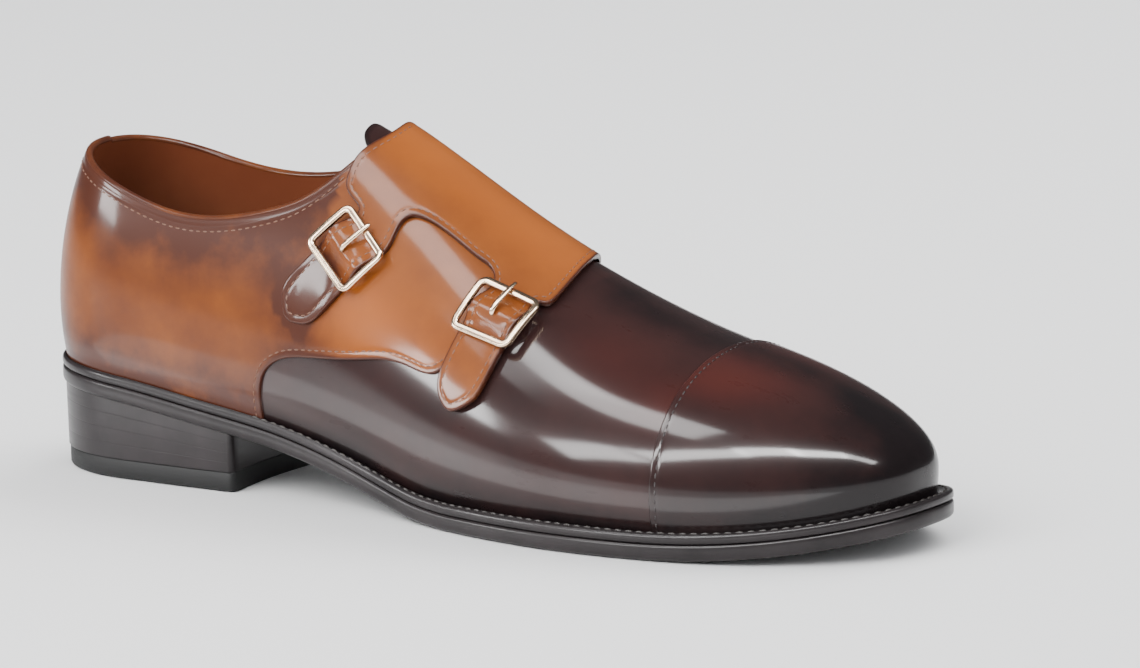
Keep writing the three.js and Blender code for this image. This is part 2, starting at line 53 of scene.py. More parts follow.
def look(obj, place, target, roll=0.0):
    ahead = (target - place).normalized()
    right = ahead.cross(Vector((0, 0, 1))).normalized()
    up = right.cross(ahead)
    turn = Matrix((right, up, -ahead)).transposed() @ Matrix.Rotation(math.radians(roll), 3, "Z")
    obj.matrix_world = Matrix.Translation(place) @ turn.to_4x4()


camera = bpy.data.objects.new("camera", bpy.data.cameras.new("camera"))
bpy.context.scene.collection.objects.link(camera)
camera.data.lens = CAMERA["lens"]
camera.data.clip_end = 50
look(camera, AIM + direction(CAMERA["azimuth"], CAMERA["elevation"]) * CAMERA["distance"], AIM, CAMERA["roll"])
bpy.context.scene.camera = camera

LIGHT_DISTANCE = 1.6
LIT = Vector((0.03, 0, 0.05))

# Narrow soft boxes that show only in the polish, one for each highlight, and then two wide
# fills that light the matt colour and are not seen in the polish. Each row is a name, the
# degrees round from the shoe's outer side towards the toe, the degrees up, the width and
# height in metres, the tilt and the brightness.
POLISH_LIGHTS = (
    ("heel_strip", -51, 14, 0.5, 0.22, 0, 48),
    ("side_box", -43, 51, 0.24, 0.8, 0, 10),
    ("vamp_strip_1", -23, 19, 0.5, 0.26, 43, 32),
    ("vamp_strip_2", -1, 36, 0.9, 0.24, 38, 38),
    ("vamp_strip_3", 27, 50, 0.6, 0.24, 24, 52),
    ("vamp_strip_4", 57, 53, 0.65, 0.24, 0, 58),
    ("toe_strip", 84, 44, 0.6, 0.2, -53, 30),
    ("top_box", -22, 60, 0.55, 0.45, 0, 20),
)
FILL_LIGHTS = (
    ("front_fill", -15, 40, 1.6, 1.0, 0, 7.5),
    ("back_fill", 165, 50, 1.6, 1.0, 0, 5),
)


def area_light(name, width, height, bright, fill):
    """A lit panel: a fill is seen only by matt colour, any other only in the polish."""
    light = bpy.data.objects.new(name, bpy.data.lights.new(name, "AREA"))
    light.data.shape = "RECTANGLE"
    light.data.size = width
    light.data.size_y = height
    light.data.energy = bright * math.pi * width * height
    bpy.context.scene.collection.objects.link(light)
    light.visible_camera = False
    light.visible_diffuse = fill
    light.visible_glossy = not fill
    return light


for table, fill in ((POLISH_LIGHTS, False), (FILL_LIGHTS, True)):
    for name, azimuth, elevation, width, height, tilt, bright in table:
        light = area_light(name, width, height, bright, fill)
        look(light, LIT + direction(azimuth, elevation) * LIGHT_DISTANCE, LIT, tilt)

# A lit panel lying on the paper beside the shoe, for the paper's bounce in the polish low down.
bounce = area_light("bounce", 0.44, 0.1, 3.2, False)
bounce.location = (0.0, -0.125, 0.003)
bounce.rotation_euler = (math.pi, 0, 0)

world = bpy.data.worlds.new("studio")
world.use_nodes = True
world.node_tree.nodes["Background"].inputs["Color"].default_value = (0.96, 0.97, 1.0, 1)
bpy.context.scene.world = world


def node(tree, kind, **settings):
    """Adds a shader node. Settings that name an input set it; the others are properties."""
    made = tree.nodes.new("ShaderNode" + kind)
    for key, value in settings.items():
        name = key.replace("_", " ")
        found = next((s for s in made.inputs if s.name.lower() == name.lower()), None)
        if found is None:
            setattr(made, key, value)
        elif isinstance(value, bpy.types.NodeSocket):
            tree.links.new(value, found)
        else:
            found.default_value = (*value, 1) if found.type == "RGBA" else value
    return made


def material(name, **settings):
    """A new material with its Principled shader set; returns it with its tree and shader."""
    made = bpy.data.materials.new(name)
    made.use_nodes = True
    tree = made.node_tree
    shader = tree.nodes["Principled BSDF"]
    for key, value in settings.items():
        socket = shader.inputs[key.replace("_", " ").title().replace("Ior", "IOR")]
        socket.default_value = (*value, 1) if socket.type == "RGBA" else value
    return made, tree, shader


def bumped(tree, shader, height, strength, distance=0.0001):
    """Gives a shader relief from a height value; the distance is in metres."""
    relief = node(tree, "Bump", strength=strength, distance=distance, height=height)
    tree.links.new(relief.outputs["Normal"], shader.inputs["Normal"])


# The room is bright to the floor and the matt colour, and dark in the polish.
polish = node(world.node_tree, "LightPath").outputs["Is Glossy Ray"]
dim = node(world.node_tree, "MapRange", value=polish, to_min=1.25, to_max=0.12)
world.node_tree.links.new(dim.outputs["Result"], world.node_tree.nodes["Background"].inputs["Strength"])

bpy.ops.mesh.primitive_plane_add(size=14, location=(0, 0, -0.0002))
floor = bpy.context.object
floor.name = "floor"
paper, tree, shader = material("paper", base_color=(0.88, 0.88, 0.875), roughness=0.45, specular_ior_level=0.12)
speckle = node(tree, "TexNoise", scale=900, detail=2)
bumped(tree, shader, speckle.outputs["Fac"], 0.05, 0.0002)
floor.data.materials.append(paper)

# ------------------------------------------------------------ vamp
# The dark front of the upper: calf leather pulled over the last, its two wings running
# back under the quarters to the heel. The other leathers are sewn down over it.
# The shape is the last's, in millimetres from the back of the heel, level with the floor.
GAP = 0.3
SHOE_LENGTH = 304
TOE_SPRING = 8
TREAD = {"back": 164, "front": 226}
SOLE_THICK = 5
WALL = 2.2
TO_ROW = np.array([-152.45, 0.9926, 0.0])
HEEL_END = {"x": 38, "power": 2.2}
TOE_END = {"x": 232, "power": 2.5}
REACH = {"heelFeather": 35, "heelSide": 36.8, "toeFeather": 66.5, "toeSide": 67.5}


def rows(names, *values):
    """A table as named columns."""
    return dict(zip(names.split(), np.array(values, float).T))


SHANK = rows(
    "x under", (-5, 26), (20, 25.3), (45, 22.9), (70, 19.1), (92, 15.6), (114, 10.6), (136, 4.5),
    (152, 0.9), (164, 0),
)
EDGE = rows(
    "x outer inner", (0, 2, 2), (60, 2.1, 2.3), (90, 2.3, 3.1), (120, 2.9, 3.7), (170, 4.5, 4.4),
    (210, 5.2, 5), (260, 5.4, 5.4), (304, 5.4, 5.4),
)
LAST = rows(
    "x outFeather inFeather outSide inSide sideUp ridgeY ridgeZ lean",
    (0, 31, 31, 33.5, 33.5, 19, 0, 122, 0.1),
    (38, 32, 31.5, 34.5, 34, 19, 0, 124, 0.2),
    (64, 32, 30.5, 35, 33.8, 19, 0.5, 123.5, 0.28),
    (90, 31.5, 27, 35.5, 32.5, 19, 1.2, 120, 0.3),
    (115, 32.5, 23.5, 37, 31.5, 18.5, 2, 111.5, 0.26),
    (140, 36, 24.5, 40.2, 33.5, 17, 3, 98, 0.2),
    (165, 41.5, 31, 44.9, 38, 15, 3.5, 83.5, 0.12),
    (190, 45.7, 39.8, 48.2, 44, 13.5, 3.4, 71, 0.04),
    (212, 46.6, 44.2, 48.8, 46.8, 12.5, 3, 62, -0.05),
    (232, 45, 44.4, 47, 46.4, 12, 2.6, 56, -0.1),
    (262, 40.3, 40.5, 41.8, 42, 11, 2.6, 50.5, -0.15),
    (299, 32, 33, 33, 34, 10, 3.6, 46, -0.15),
)
COLLAR = rows(
    "x outer inner", (-12, 103, 101), (8, 98.5, 97.5), (24, 93, 93), (42, 86.5, 88.5),
    (60, 82.5, 86.5), (76, 83, 87.5), (92, 86.5, 91), (106, 93, 97), (117, 104, 106),
    (128, 124, 124), (134, 145, 145),
)


def spline(x, y):
    """Natural cubic spline through the points, as a function."""
    x, y, n = np.asarray(x, float), np.asarray(y, float), len(x)
    gap = np.diff(x)
    system, turn = np.eye(n), np.zeros(n)
    for i in range(1, n - 1):
        system[i, i - 1 : i + 2] = gap[i - 1], 2 * (gap[i - 1] + gap[i]), gap[i]
        turn[i] = 6 * ((y[i + 1] - y[i]) / gap[i] - (y[i] - y[i - 1]) / gap[i - 1])
    bend = np.linalg.solve(system, turn)

    def value(at):
        at = np.asarray(at, float)
        i = np.clip(np.searchsorted(x, at) - 1, 0, n - 2)
        b = (at - x[i]) / gap[i]
        a = 1 - b
        cubic = ((a**3 - a) * bend[i] + (b**3 - b) * bend[i + 1]) * gap[i] ** 2 / 6
        return a * y[i] + b * y[i + 1] + cubic

    return value


def curves(table):
    return {key: spline(table["x"], table[key]) for key in table if key != "x"}


shank, edge, last, collar = (curves(table) for table in (SHANK, EDGE, LAST, COLLAR))


def sole_under(x):
    x = np.asarray(x, float)
    back = np.maximum(0, shank["under"](np.minimum(x, TREAD["back"])))
    front = np.clip((x - TREAD["front"]) / (SHOE_LENGTH - TREAD["front"]), 0, 2)
    return np.where(x < TREAD["back"], back, TOE_SPRING * front**2.2)


def sole_top(x):
    return sole_under(x) + SOLE_THICK


# A place round the shoe is its turn: 0 at the back of the heel, 1 at the toe along the
# outer side, and on to 2 back along the inner side.
HEEL_STEPS, SIDE_STEPS, TOE_STEPS = 8, 24, 9
HALF = HEEL_STEPS + SIDE_STEPS + TOE_STEPS


def plan(turn, kind, rho=1.0, grow=0.0):
    t = (np.asarray(turn, float) + 2) % 2
    outer = t <= 1
    step = np.where(outer, t, 2 - t) * HALF
    in_heel, in_toe = step < HEEL_STEPS, step > HEEL_STEPS + SIDE_STEPS
    heel = np.clip(np.pi / 2 * (1 - step / HEEL_STEPS), 0, np.pi / 2)
    toe = np.clip(np.pi / 2 * (step - HEEL_STEPS - SIDE_STEPS) / TOE_STEPS, 0, np.pi / 2)
    x = HEEL_END["x"] + (TOE_END["x"] - HEEL_END["x"]) * (step - HEEL_STEPS) / SIDE_STEPS
    back = REACH["heel" + kind] + edge["outer"](0) * grow
    front = REACH["toe" + kind] + edge["outer"](SHOE_LENGTH) * grow
    x = np.where(in_heel, HEEL_END["x"] - back * rho * np.sin(heel) ** (2 / HEEL_END["power"]), x)
    x = np.where(in_toe, TOE_END["x"] + front * rho * np.sin(toe) ** (2 / TOE_END["power"]), x)
    across = np.where(in_heel, np.clip(np.cos(heel), 0, 1) ** (2 / HEEL_END["power"]), 1)
    across = rho * np.where(in_toe, np.clip(np.cos(toe), 0, 1) ** (2 / TOE_END["power"]), across)
    half = np.where(outer, last["out" + kind](x), last["in" + kind](x))
    half = half + np.where(outer, edge["outer"](x), edge["inner"](x)) * grow
    side, crest = np.where(outer, -1, 1), last["ridgeY"](x)
    return x, crest + side * (half - side * crest) * across


def skin(turn, level):
    """Point on the last: level -1 at the sole, 0 at the widest line, 1 at the crest."""
    turn, level = np.broadcast_arrays(np.asarray(turn, float), np.asarray(level, float))
    (xs, ys), (xf, yf) = plan(turn, "Side"), plan(turn, "Feather")
    down = level**2
    x0, y0 = xs + (xf - xs) * down, ys + (yf - ys) * down
    z0 = sole_top(x0) + GAP + last["sideUp"](x0) * (1 + level)
    angle = np.clip(level, 0, 1) * np.pi / 2
    x1, y1 = plan(turn, "Side", np.cos(angle))
    low, lean, rise = sole_top(x1) + GAP + last["sideUp"](x1), last["lean"](x1), np.sin(angle)
    z1 = low + (last["ridgeZ"](x1) - low) * ((1 - lean) * rise + lean * rise**2)
    below = level < 0
    return np.stack([np.where(below, x0, x1), np.where(below, y0, y1), np.where(below, z0, z1)], -1)


def unit(v):
    return v / np.maximum(np.linalg.norm(v, axis=-1, keepdims=True), 1e-9)


def normal(turn, level):
    turn, level = np.broadcast_arrays(np.asarray(turn, float), np.asarray(level, float))
    small, at = 0.004, np.minimum(level, 0.999)
    along = skin(turn + small, at) - skin(turn - small, at)
    up = skin(turn, np.minimum(1, at + small)) - skin(turn, np.maximum(-1, at - small))
    x = skin(turn, np.ones_like(at))[..., 0]
    crest = np.stack([last["ridgeZ"](x - 0.5) - last["ridgeZ"](x + 0.5), 0 * x, np.ones_like(x)], -1)
    return np.where((level > 0.999)[..., None], unit(crest), unit(np.cross(along, up)))


def off(turn, level, height):
    """A point stood off the last by a height in millimetres."""
    height = np.asarray(height, float)
    return skin(turn, level) + normal(turn, level) * height[..., None]


def top_level(turn):
    """How far up its half-section the collar cuts each place."""
    turn = np.asarray(turn, float)
    outer = (turn + 2) % 2 <= 1
    low, high = np.zeros_like(turn), np.ones_like(turn)
    for _ in range(30):
        middle = (low + high) / 2
        p = skin(turn, middle)
        line = np.where(outer, collar["outer"](p[..., 0]), collar["inner"](p[..., 0]))
        over = (p[..., 0] < COLLAR["x"][-1]) & (p[..., 2] > line)
        low, high = np.where(over, low, middle), np.where(over, middle, high)
    return low


def piece(name, points, faces, finish, nodes=(), masks=None, smooth=True):
    """A mesh from points in millimetres, riding on the shoe; masks are named values at them."""
    mesh = bpy.data.meshes.new(name)
    places = (np.asarray(points).reshape(-1, 3) + TO_ROW) / 1000
    mesh.from_pydata(places, [], [tuple(int(i) for i in f) for f in faces])
    mesh.validate()
    for key, values in (masks or {}).items():
        mask = mesh.attributes.new(key, "FLOAT", "POINT")
        mask.data.foreach_set("value", np.asarray(values, np.float32).ravel())
    mesh.polygons.foreach_set("use_smooth", [smooth] * len(mesh.polygons))
    made = bpy.data.objects.new(name, mesh)
    bpy.context.scene.collection.objects.link(made)
    mesh.materials.append(finish)
    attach(made, "root")
    if nodes:
        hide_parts(*nodes)
    return made


def grid(rows_, columns, wrap=False, flip=False):
    """Faces of a grid of points, row after row; wrap joins its last column to its first."""
    r, c = np.meshgrid(np.arange(rows_ - 1), np.arange(columns if wrap else columns - 1), indexing="ij")
    n = (c + 1) % columns
    corners = (r * columns + c, r * columns + n, (r + 1) * columns + n, (r + 1) * columns + c)
    quads = np.stack(corners, -1).reshape(-1, 4)
    return (quads[:, ::-1] if flip else quads).tolist()


def group(name, inputs, outputs):
    """A shader node group with number or colour inputs; returns it with its two ends."""
    made = bpy.data.node_groups.new(name, "ShaderNodeTree")
    for key, value in inputs.items():
        kind = "NodeSocketFloat" if isinstance(value, (int, float)) else "NodeSocketColor"
        socket = made.interface.new_socket(key, in_out="INPUT", socket_type=kind)
        socket.default_value = value if isinstance(value, (int, float)) else (*value, 1)
    for key, kind in outputs.items():
        made.interface.new_socket(key, in_out="OUTPUT", socket_type="NodeSocket" + kind)
    return made, made.nodes.new("NodeGroupInput"), made.nodes.new("NodeGroupOutput")


# Calf grain: fine pores and hair cells with soft clouding from hand polishing.
grain, given, result = group(
    "calf grain",
    {"Pore Size": 0.6, "Cloud Size": 22.0},
    {"Height": "Float", "Clouds": "Float", "Streaks": "Float"},
)
place = node(grain, "TexCoord").outputs["Object"]
pore_scale = node(grain, "Math", operation="DIVIDE")
pore_scale.inputs[0].default_value = 1000
grain.links.new(given.outputs["Pore Size"], pore_scale.inputs[1])
cloud_scale = node(grain, "Math", operation="DIVIDE")
cloud_scale.inputs[0].default_value = 1000
grain.links.new(given.outputs["Cloud Size"], cloud_scale.inputs[1])
pores = node(grain, "TexVoronoi", feature="DISTANCE_TO_EDGE", vector=place, scale=pore_scale.outputs[0])
cells = node(grain, "MapRange", value=pores.outputs["Distance"], from_max=0.25)
fine = node(grain, "TexNoise", vector=place, scale=pore_scale.outputs[0], detail=4)
blend = node(grain, "Math", operation="MULTIPLY_ADD")
grain.links.new(fine.outputs["Fac"], blend.inputs[0])
blend.inputs[1].default_value = 0.8
grain.links.new(cells.outputs["Result"], blend.inputs[2])
clouds = node(grain, "TexNoise", vector=place, scale=cloud_scale.outputs[0], detail=5, roughness=0.6)
cloud_mask = node(grain, "MapRange", value=clouds.outputs["Fac"], from_min=0.32, from_max=0.68)
stretch = node(grain, "Mapping", vector=place, scale=(0.25, 1, 1))
streaks = node(grain, "TexNoise", vector=stretch.outputs["Vector"], scale=160, detail=6, roughness=0.65)
streak_mask = node(grain, "MapRange", value=streaks.outputs["Fac"], from_min=0.35, from_max=0.7)
grain.links.new(blend.outputs[0], result.inputs["Height"])
grain.links.new(cloud_mask.outputs["Result"], result.inputs["Clouds"])
grain.links.new(streak_mask.outputs["Result"], result.inputs["Streaks"])

# Hand-dyed colour: a light and a deep dye clouded together, then a dark colour laid on by a
# mask that is partly dark dye and partly painted shade, a warm tone laid on by a second mask,
# which inside the lining is painted light, and a pale painted highlight low down, where the
# "rim" mask is.
patina, given, result = group(
    "patina",
    {"Clouds": 0.5, "Streaks": 0.5, "Wash": 0.0, "Glow": 0.0, "Rim": 0.0,
     "Light": (0.4, 0.15, 0.05), "Deep": (0.2, 0.07, 0.02), "Dark": (0.05, 0.02, 0.01),
     "Warm": (0.5, 0.2, 0.05), "Painted_Highlight": (0.3, 0.25, 0.24)},
    {"Color": "Color"},
)


def mixed(tree, amount, first, second):
    made = node(tree, "Mix", data_type="RGBA")
    for value, socket in ((amount, made.inputs[0]), (first, made.inputs[6]), (second, made.inputs[7])):
        if isinstance(value, bpy.types.NodeSocket):
            tree.links.new(value, socket)
        else:
            socket.default_value = value if isinstance(value, float) else (*value, 1)
    return made.outputs[2]


def sum_of(tree, first, second, weight):
    made = node(tree, "Math", operation="MULTIPLY_ADD", use_clamp=True)
    tree.links.new(second, made.inputs[0])
    made.inputs[1].default_value = weight
    if isinstance(first, bpy.types.NodeSocket):
        tree.links.new(first, made.inputs[2])
    else:
        made.inputs[2].default_value = first
    return made.outputs[0]


clouded = sum_of(patina, 0.0, given.outputs["Clouds"], 0.6)
clouded = sum_of(patina, clouded, given.outputs["Streaks"], 0.1)
dyed = mixed(patina, clouded, given.outputs["Light"], given.outputs["Deep"])
dyed = mixed(patina, given.outputs["Glow"], dyed, given.outputs["Warm"])
uneven = node(patina, "Math", operation="MULTIPLY_ADD", use_clamp=True)
patina.links.new(given.outputs["Clouds"], uneven.inputs[0])
patina.links.new(given.outputs["Wash"], uneven.inputs[1])
uneven.inputs[2].default_value = 0
washed = sum_of(patina, uneven.outputs[0], given.outputs["Wash"], 0.7)
washed = mixed(patina, washed, dyed, given.outputs["Dark"])
patina.links.new(mixed(patina, given.outputs["Rim"], washed, given.outputs["Painted_Highlight"]), result.inputs["Color"])


# The pale colour of the painted highlight that the "rim" mask lays low down on the leather.
PAINTED_HIGHLIGHT = (0.3, 0.24, 0.23)


def leather(name, light, deep, dark, warm, gloss=0.3, coat=0.4, bump=0.06, clouds=22.0, pores=0.6):
    made, tree, shader = material(name, coat_weight=coat, coat_roughness=0.12, specular_ior_level=0.05)
    texture = node(tree, "Group", node_tree=grain)
    texture.inputs["Pore Size"].default_value = pores
    texture.inputs["Cloud Size"].default_value = clouds
    dye = node(tree, "Group", node_tree=patina)
    dyes = (("Light", light), ("Deep", deep), ("Dark", dark), ("Warm", warm), ("Painted_Highlight", PAINTED_HIGHLIGHT))
    for key, value in dyes:
        dye.inputs[key].default_value = (*value, 1)
    for key in ("Clouds", "Streaks"):
        tree.links.new(texture.outputs[key], dye.inputs[key])
    for key in ("wash", "glow", "rim"):
        tree.links.new(node(tree, "Attribute", attribute_name=key).outputs["Fac"], dye.inputs[key.title()])
    tree.links.new(dye.outputs["Color"], shader.inputs["Base Color"])
    rough = node(tree, "MapRange", value=texture.outputs["Streaks"], to_min=gloss - 0.03, to_max=gloss + 0.05)
    tree.links.new(rough.outputs["Result"], shader.inputs["Roughness"])
    bumped(tree, shader, texture.outputs["Height"], bump, 0.00006)
    return made


def near(distance, reach):
    """1 at no distance, falling smoothly to 0 at the reach."""
    share = np.clip(1 - np.asarray(distance, float) / reach, 0, 1)
    return share * share * (3 - 2 * share)


def bell(value, middle, spread):
    """1 at the middle, falling away on both sides over the spread."""
    return np.exp(-(((value - middle) / spread) ** 2))


VAMP_DEPTH = -0.9
dark_calf = leather(
    "dark calf", (0.032, 0.0135, 0.0125), (0.017, 0.009, 0.009), (0.008, 0.0055, 0.006),
    (0.06, 0.015, 0.012), gloss=0.3, coat=0.5,
)
turns = np.linspace(0, 2, 2 * HALF * 6, endpoint=False)
tops = top_level(turns)
lift = np.linspace(-1, 0, 12)
up_to_collar = np.linspace(0, 1, 61)[1:, None] * tops[None]
levels = np.concatenate([np.repeat(lift[:, None], len(turns), 1), up_to_collar])
around = np.broadcast_to(turns, levels.shape)
points = off(around, levels, np.full(levels.shape, VAMP_DEPTH))


def vamp_masks(points, levels):
    """Darker along the sole and up the crest, warmer on the shoulder ahead of the straps, and a pale painted
    highlight low down towards the heel.
    """
    x, y = points[..., 0], points[..., 1]
    wash = 0.75 * near(levels + 1, 0.9) + 0.5 * near(abs(y - 3), 16) * (x > 190)
    wash = wash + 0.6 * near(300 - x, 40)
    glow = 0.8 * bell(x, 246, 20) * bell(levels, 0.47, 0.16) + 0.3 * bell(x, 212, 16) * bell(levels, 0.6, 0.2)
    # A pale painted highlight low down, towards the heel.
    rim = 0.25 * bell(levels, -0.5, 0.2) * near(x, 180)
    return {"wash": np.clip(wash, 0, 1), "glow": np.clip(glow, 0, 1), "rim": rim}


vamp_faces = grid(*levels.shape, wrap=True)
piece("vamp", points, vamp_faces, dark_calf, ["upper"], vamp_masks(points, levels))

# ------------------------------------------------------------ toe cap
# A second layer of the vamp's calf, cut straight across the toes and sewn down over it.
CAP = {"x": 236.5, "thick": 1.05, "round": 0.45}
cap_turns = np.linspace(0.74, 1.26, 281)
cap_levels = np.concatenate([np.linspace(-1, 0, 14), np.linspace(0, 0.985, 70)[1:]])
cap_around, cap_up = np.meshgrid(cap_turns, cap_levels)
shape = bmesh.new()
base = off(cap_around, cap_up, np.full(cap_up.shape, VAMP_DEPTH)).reshape(-1, 3)
verts = [shape.verts.new(p) for p in base]
for quad in grid(*cap_up.shape):
    shape.faces.new([verts[i] for i in quad])
for ahead_of_edge in (0, 0.12, 0.3, 0.5, 1.4, 2, 2.6):
    bmesh.ops.bisect_plane(
        shape, geom=shape.verts[:] + shape.edges[:] + shape.faces[:], plane_co=(CAP["x"] + ahead_of_edge, 0, 0),
        plane_no=(1, 0, 0), clear_inner=ahead_of_edge == 0,
    )
shape.normal_update()


def rounded(distance, thick, radius):
    """Height of a cut edge at a distance in from it, with its corner rounded over."""
    into = np.clip(radius - distance, 0, radius)
    return thick - radius + np.sqrt(radius**2 - into**2)


moved = {}
for vert in shape.verts:
    inset = vert.co.x - CAP["x"]
    height = rounded(inset, CAP["thick"], CAP["round"]) - 0.1 * math.exp(-(((inset - 2) / 0.4) ** 2))
    moved[vert] = vert.co + vert.normal * height
edge_loop = [e for e in shape.edges if e.is_boundary and all(v.co.x < CAP["x"] + 0.01 for v in e.verts)]
skirt = bmesh.ops.extrude_edge_only(shape, edges=edge_loop)["geom"]
skirt = {v for v in skirt if isinstance(v, bmesh.types.BMVert)}
for vert, place in moved.items():
    vert.co = place
for vert in skirt:
    vert.co.x += 0.15
shape.verts.index_update()
points = np.array([v.co for v in shape.verts])
faces = [[v.index for v in f.verts] for f in shape.faces]
shape.free()
cap_floor = sole_top(points[:, 0])
cap_crest = last["ridgeZ"](np.minimum(points[:, 0], 299))
cap_levels = np.clip((points[:, 2] - cap_floor) / (cap_crest - cap_floor) * 1.6 - 1, -1, 1)
piece("toe_cap", points, faces, dark_calf, masks=vamp_masks(points, cap_levels))

# ------------------------------------------------------------ quarters and strap panel
# Tan calf. The outer quarter wraps the outer side of the heel; the inner quarter wraps the
# other side and carries on over the instep as the panel that is cut into two straps.
# Both are flat patterns: s runs forward round the shoe, w down from the crest, and the
# pattern's edges are skived, folded and sewn through to the lining.
GIRTH = 90
FOOT = 20
STEP = 8.1


def s_of(x):
    """How far round the flat pattern a place along the shoe's side is."""
    share = (np.asarray(x, float) - HEEL_END["x"]) / (TOE_END["x"] - HEEL_END["x"])
    return STEP * (HEEL_STEPS + SIDE_STEPS * share)


def spot(flat):
    """Turn and level of places on the flat pattern; w is below 0 on the inner side."""
    s, w = flat[..., 0] / STEP, flat[..., 1]
    down = abs(w)
    level = np.where(down < GIRTH, 1 - down / GIRTH, -(down - GIRTH) / FOOT)
    return np.where(w > 0, s, 2 * HALF - s) / HALF, np.clip(level, -1, 1)


def at_x(*places):
    """Flat places from x, level and side, which is -1 for the inner side."""
    downs = [(1 - level) * GIRTH if level > 0 else GIRTH - level * FOOT for _, level, _ in places]
    return np.array([(s_of(x), side * down) for (x, _, side), down in zip(places, downs)])


def through(points, spacing=1.3):
    """A smooth line through points, evenly spaced; it keeps both ends."""
    points = np.asarray(points, float)
    run = np.concatenate([[0], np.cumsum(np.linalg.norm(np.diff(points, axis=0), axis=-1))])
    count = max(2, int(run[-1] / spacing) + 1)
    if len(points) == 2:
        return points[0] + (points[1] - points[0]) * np.linspace(0, 1, count)[:, None]
    even = np.linspace(0, run[-1], count)
    return np.stack([spline(run, points[:, k])(even) for k in range(points.shape[1])], -1)


def closed(*lines):
    """One outline from lines that meet at corners."""
    return np.concatenate([line[:-1] for line in lines])


def distance_to(points, line, wrap=True):
    """Distance from each point to a line."""
    a = line if wrap else line[:-1]
    b = np.roll(line, -1, 0) if wrap else line[1:]
    best = np.full(len(points), 1e9)
    for first, second in zip(a, b):
        along = second - first
        share = np.clip(((points - first) @ along) / max(along @ along, 1e-9), 0, 1)
        best = np.minimum(best, np.linalg.norm(points - first - share[:, None] * along, axis=-1))
    return best


def inside(points, line):
    x, y = points[:, 0], points[:, 1]
    found = np.zeros(len(points), bool)
    for (ax, ay), (bx, by) in zip(line, np.roll(line, -1, 0)):
        if ay != by:
            found ^= ((ay > y) != (by > y)) & (x < ax + (y - ay) * (bx - ax) / (by - ay))
    return found


def inward(line):
    """Unit normals of a closed line, pointing into it."""
    along = unit(np.roll(line, -1, 0) - np.roll(line, 1, 0))
    across = np.stack([-along[:, 1], along[:, 0]], -1)
    return across if inside(line[:1] + across[:1] * 0.05, line)[0] else -across


RINGS = [0.15, 0.35, 0.6, 1.0, 1.6, 2.0, 2.4, 3.2]


def cut(outline, cell=2.4):
    """Triangles over a closed outline, finer along its edge: points, faces and distances in."""
    into = inward(outline)
    kept = [outline]
    for ring in RINGS:
        loop = outline + into * ring
        kept.append(loop[(distance_to(loop, outline) > ring - 0.03) & inside(loop, outline)])
    low, high = outline.min(0), outline.max(0)
    a, b = np.meshgrid(np.arange(low[0], high[0], cell), np.arange(low[1], high[1], cell * 0.866))
    a = a + cell / 2 * (np.arange(a.shape[0]) % 2)[:, None]
    fill = np.stack([a.ravel(), b.ravel()], -1)
    fill = fill[inside(fill, outline)]
    kept.append(fill[distance_to(fill, outline) > RINGS[-1] + cell * 0.5])
    count = len(outline)
    sides = [(i, (i + 1) % count) for i in range(count)]
    made = delaunay_2d_cdt([Vector(p) for p in np.concatenate(kept)], sides, [], 1, 1e-4)
    points = np.array(made[0])
    return points, made[2], distance_to(points, outline)


def panel(name, outline, base, thick, finish, nodes=(), masks=None, radius=0.4, lined=False):
    """A leather piece cut to a flat outline and laid on the last. Base and thick are functions
    of the flat places, and a stitch groove runs round it. A lined one has its back face too."""
    flat, faces, inset = cut(outline)
    turn, level = spot(flat)
    low, full = base(flat), thick(flat)
    crown = np.minimum(full, rounded(inset, full, np.minimum(radius, full * 0.45)))
    height = low + crown - 0.1 * bell(inset, 2, 0.4)
    points = off(turn, level, height)
    tri = np.array(faces)
    facing = np.cross(points[tri[:, 1]] - points[tri[:, 0]], points[tri[:, 2]] - points[tri[:, 0]])
    if (facing * normal(turn, level)[tri[:, 0]]).sum() < 0:
        tri = tri[:, ::-1]
    pairs = np.concatenate([tri[:, [0, 1]], tri[:, [1, 2]], tri[:, [2, 0]]])
    seen = {(a, b) for a, b in pairs}
    rim = [(a, b) for a, b in pairs if (b, a) not in seen]
    order = list(range(len(points))) if lined else sorted({a for pair in rim for a in pair})
    below = {a: len(points) + i for i, a in enumerate(order)}
    under = off(turn[order], level[order], low[order] - 0.05)
    skirt = [(b, a, below[a], below[b]) for a, b in rim]
    if lined:
        skirt += (tri[:, ::-1] + len(points)).tolist()
    everything = np.concatenate([flat, flat[order]])
    found = masks(everything, np.concatenate([inset, inset[order]])) if masks else None
    return piece(name, np.concatenate([points, under]), tri.tolist() + skirt, finish, nodes, found)


# The buckles: their middles, and the way their straps' ends point.
BUCKLES = [
    {"name": "rear", "x": 121.3, "down": 0.554, "tipward": (-0.66, -0.33, -0.66)},
    {"name": "front", "x": 174.6, "down": 0.47, "tipward": (-0.24, -0.64, -0.73)},
]
STRAP = {"half": 8.2, "tip": 29, "lift": 2.4}


def lay(flat, height):
    turn, level = spot(flat)
    return off(turn, level, height)


for buckle in BUCKLES:
    middle = np.array([s_of(buckle["x"]), buckle["down"] * GIRTH])
    buckle["flat"], buckle["middle"] = middle, lay(middle, 0)
    out = unit(lay(middle, 1) - buckle["middle"])
    ahead = np.array(buckle["tipward"])
    buckle["ahead"] = unit(ahead - out * (ahead @ out))
    buckle["beside"] = np.cross(out, buckle["ahead"])
    if buckle["beside"][0] < 0:
        buckle["beside"] = -buckle["beside"]


